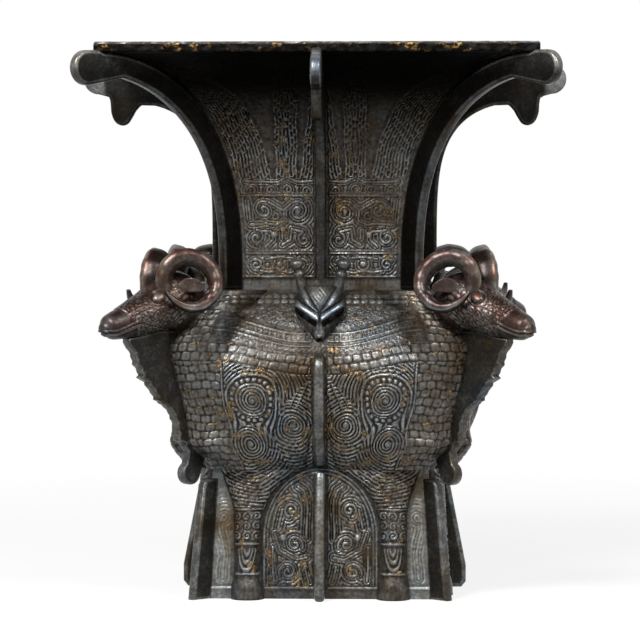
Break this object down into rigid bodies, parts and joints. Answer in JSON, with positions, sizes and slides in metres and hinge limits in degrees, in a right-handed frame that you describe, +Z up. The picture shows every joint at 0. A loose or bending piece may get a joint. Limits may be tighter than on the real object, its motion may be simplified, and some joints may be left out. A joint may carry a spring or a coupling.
{
  "type": "square wine vessel",
  "caption": "Square bronze zun wine vessel with a wide flared mouth, a horned ram at each belly corner and a high foot",
  "frame": {"origin": "centre of the standing face, on the vessel's axis", "axes": "+Z up along the vessel's axis, front side faces -Y, rams at the four corners between the X and Y axes"},
  "size_m": [0.524, 0.524, 0.583],
  "materials": {
    "dark_bronze": "dark brown-black patina on cast bronze",
    "flange_bronze": "dark patina on cast bronze, rubbed brighter along the edges",
    "worn_bronze": "cast bronze worn to a reddish brown"
  },
  "bodies": {
    "root": {"neck_panel_front": "dark_bronze", "neck_panel_right": "dark_bronze", "neck_panel_back": "dark_bronze", "neck_panel_left": "dark_bronze", "neck_side_flange_front": "flange_bronze", "neck_side_flange_right": "flange_bronze", "neck_side_flange_back": "flange_bronze", "neck_side_flange_left": "flange_bronze", "neck_corner_flange_front_right": "flange_bronze", "neck_corner_flange_back_right": "flange_bronze", "neck_corner_flange_back_left": "flange_bronze", "neck_corner_flange_front_left": "flange_bronze", "ram_body_front_right": "dark_bronze", "ram_body_back_right": "dark_bronze", "ram_body_back_left": "dark_bronze", "ram_body_front_left": "dark_bronze", "vessel_floor": "dark_bronze", "beast_rivets": "dark_bronze", "belly_flange_front": "flange_bronze", "belly_flange_right": "flange_bronze", "belly_flange_back": "flange_bronze", "belly_flange_left": "flange_bronze", "chest_flange_front_right": "flange_bronze", "chest_flange_back_right": "flange_bronze", "chest_flange_back_left": "flange_bronze", "chest_flange_front_left": "flange_bronze", "ram_head_front_right": "worn_bronze", "ram_head_back_right": "worn_bronze", "ram_head_back_left": "worn_bronze", "ram_head_front_left": "worn_bronze", "ram_horn_front_right_l": "worn_bronze", "ram_horn_front_right_r": "worn_bronze", "ram_horn_back_right_l": "worn_bronze", "ram_horn_back_right_r": "worn_bronze", "ram_horn_back_left_l": "worn_bronze", "ram_horn_back_left_r": "worn_bronze", "ram_horn_front_left_l": "worn_bronze", "ram_horn_front_left_r": "worn_bronze", "beast_head_front": "dark_bronze", "beast_head_right": "dark_bronze", "beast_head_back": "dark_bronze", "beast_head_left": "dark_bronze", "foot_panel_front": "dark_bronze", "foot_panel_right": "dark_bronze", "foot_panel_back": "dark_bronze", "foot_panel_left": "dark_bronze", "foot_side_flange_front": "flange_bronze", "foot_side_flange_right": "flange_bronze", "foot_side_flange_back": "flange_bronze", "foot_side_flange_left": "flange_bronze", "foot_corner_flange_front_right": "flange_bronze", "foot_corner_flange_back_right": "flange_bronze", "foot_corner_flange_back_left": "flange_bronze", "foot_corner_flange_front_left": "flange_bronze"}
  },
  "joints": []
}
